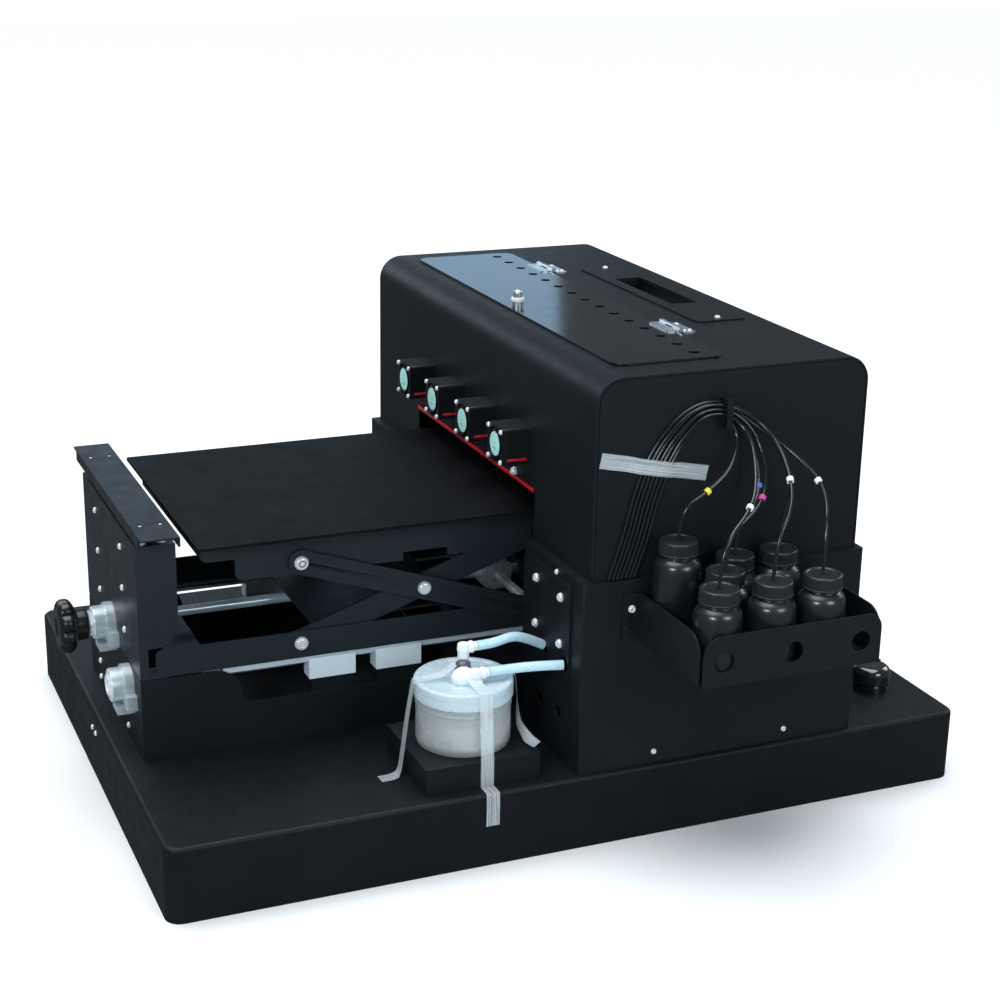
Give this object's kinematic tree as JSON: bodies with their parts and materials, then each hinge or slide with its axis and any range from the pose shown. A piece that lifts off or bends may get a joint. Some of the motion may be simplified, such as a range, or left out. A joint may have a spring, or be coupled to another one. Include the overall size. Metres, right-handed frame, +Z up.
{
  "type": "flatbed uv printer",
  "caption": "Small flatbed UV printer: table on a scissor lift runs into a cabinet with print carriage, lid, fans, side bottle rack with ink tubes, and a waste ink jar.",
  "frame": {"origin": "centre of the base's flat underside", "axes": "+Z up, +Y the way the table travels into the cabinet, +X the side that carries the ink bottles"},
  "size_m": [0.68, 0.811, 0.4533],
  "materials": {
    "coat": "satin powder coat",
    "lid_coat": "semi-gloss coat",
    "channel_coat": "satin powder coat with bare cut edges",
    "steel": "bright",
    "cast": "satin",
    "black_plastic": "matte",
    "bottle_plastic": "soft matte",
    "ink_tubing": "clear tube full of dark ink",
    "ring_plastic": "matte",
    "jar_plastic": "translucent",
    "hose_plastic": "translucent",
    "supply_case": "perforated case"
  },
  "bodies": {
    "base": {"base_pan": "coat", "stand": "coat", "slide_blocks": "cast", "feed_bearing": "cast", "feed_motor": "black_plastic", "lower_body": "coat", "bracket_plates": "coat", "body_screws": "steel", "cowl": "coat", "fan_shrouds": "black_plastic", "panel_plate": "coat", "control_panel": "black_plastic", "hinge_leaves": "steel", "bottle_rack": "coat", "ink_bottles": "bottle_plastic", "bottle_caps": "bottle_plastic", "ink_tube_1": "ink_tubing", "ink_tube_2": "ink_tubing", "ink_tube_3": "ink_tubing", "ink_tube_4": "ink_tubing", "ink_tube_5": "ink_tubing", "ink_tube_6": "ink_tubing", "ink_tube_7": "ink_tubing", "tube_rings": "ring_plastic", "tube_clip": "black_plastic", "waste_stand": "coat", "waste_jar": "jar_plastic", "jar_lid": "jar_plastic", "waste_hose_1": "hose_plastic", "waste_hose_2": "hose_plastic", "print_rail": "steel", "capping_station": "black_plastic", "power_supply": "supply_case", "rear_puck": "black_plastic"},
    "feed_screw": {"feed_screw": "steel"},
    "table": {"table_frame": "coat", "table_rails": "steel", "top_channel": "channel_coat", "table_screws": "steel", "lift_bearing": "cast"},
    "handwheel": {"handwheel": "black_plastic", "lift_screw": "steel"},
    "inner_arms": {"inner_arms": "coat"},
    "outer_arms": {"outer_arms": "coat", "outer_arm_pins": "steel"},
    "lift_nut": {"lift_nut": "cast"},
    "bed": {"bed_plate": "coat", "bed_frame": "coat"},
    "lid": {"lid": "lid_coat", "lid_fittings": "steel"},
    "carriage": {"carriage": "black_plastic"},
    "fan_rotor_1": {"fan_rotor_1": "black_plastic"},
    "fan_rotor_2": {"fan_rotor_2": "black_plastic"},
    "fan_rotor_3": {"fan_rotor_3": "black_plastic"},
    "fan_rotor_4": {"fan_rotor_4": "black_plastic"},
    "button_1": {"button_1": "black_plastic"},
    "button_2": {"button_2": "black_plastic"},
    "button_3": {"button_3": "black_plastic"},
    "button_4": {"button_4": "black_plastic"},
    "button_5": {"button_5": "black_plastic"}
  },
  "joints": [
    {"name": "table_slide", "type": "slide", "parent": "base", "child": "table", "axis": [0, 1, 0], "range_m": [0, 0.3]},
    {"name": "feed_screw_turn", "type": "hinge", "parent": "base", "child": "feed_screw", "pos_m": [0.07, 0, 0.1295], "axis": [0, 1, 0], "range_deg": [0, 21600]},
    {"name": "lift", "type": "hinge", "parent": "table", "child": "inner_arms", "pos_m": [0, -0.22, 0.164], "axis": [1, 0, 0], "range_deg": [-10.4, 2.9]},
    {"name": "scissor_centre", "type": "hinge", "parent": "inner_arms", "child": "outer_arms", "pos_m": [0, -0.10153, 0.20387], "axis": [1, 0, 0], "range_deg": [-5.9, 20.9]},
    {"name": "bed_pivot", "type": "hinge", "parent": "outer_arms", "child": "bed", "pos_m": [0, -0.22, 0.24374], "axis": [1, 0, 0], "range_deg": [-10.5, 3]},
    {"name": "nut_pivot", "type": "hinge", "parent": "outer_arms", "child": "lift_nut", "pos_m": [0, 0.01694, 0.164], "axis": [1, 0, 0], "range_deg": [-10.5, 3]},
    {"name": "handwheel_turn", "type": "hinge", "parent": "table", "child": "handwheel", "pos_m": [0, -0.4, 0.164], "axis": [0, -1, 0], "range_deg": [-2085, 585]},
    {"name": "lid_hinge", "type": "hinge", "parent": "base", "child": "lid", "pos_m": [0, 0.138, 0.4389], "axis": [-1, 0, 0], "range_deg": [0, 105]},
    {"name": "carriage_slide", "type": "slide", "parent": "base", "child": "carriage", "axis": [1, 0, 0], "range_m": [-0.35, 0]},
    {"name": "fan_1_spin", "type": "hinge", "parent": "base", "child": "fan_rotor_1", "pos_m": [-0.1218, -0.03, 0.338], "axis": [0, 1, 0], "continuous": true},
    {"name": "fan_2_spin", "type": "hinge", "parent": "base", "child": "fan_rotor_2", "pos_m": [-0.0406, -0.03, 0.338], "axis": [0, 1, 0], "continuous": true},
    {"name": "fan_3_spin", "type": "hinge", "parent": "base", "child": "fan_rotor_3", "pos_m": [0.0406, -0.03, 0.338], "axis": [0, 1, 0], "continuous": true},
    {"name": "fan_4_spin", "type": "hinge", "parent": "base", "child": "fan_rotor_4", "pos_m": [0.1218, -0.03, 0.338], "axis": [0, 1, 0], "continuous": true},
    {"name": "button_1_press", "type": "slide", "parent": "base", "child": "button_1", "axis": [0, 0, -1], "range_m": [0, 0.0012], "stiffness_N_per_m": 300},
    {"name": "button_2_press", "type": "slide", "parent": "base", "child": "button_2", "axis": [0, 0, -1], "range_m": [0, 0.0012], "stiffness_N_per_m": 300},
    {"name": "button_3_press", "type": "slide", "parent": "base", "child": "button_3", "axis": [0, 0, -1], "range_m": [0, 0.0012], "stiffness_N_per_m": 300},
    {"name": "button_4_press", "type": "slide", "parent": "base", "child": "button_4", "axis": [0, 0, -1], "range_m": [0, 0.0012], "stiffness_N_per_m": 300},
    {"name": "button_5_press", "type": "slide", "parent": "base", "child": "button_5", "axis": [0, 0, -1], "range_m": [0, 0.0012], "stiffness_N_per_m": 300}
  ],
  "couplings": [
    {"joint": "feed_screw_turn", "follows": "table_slide", "rad_per_m": 1256.6},
    {"joint": "scissor_centre", "follows": "lift", "ratio": -2},
    {"joint": "bed_pivot", "follows": "lift", "ratio": 1},
    {"joint": "nut_pivot", "follows": "lift", "ratio": 1},
    {"joint": "handwheel_turn", "follows": "lift", "ratio": 200}
  ]
}
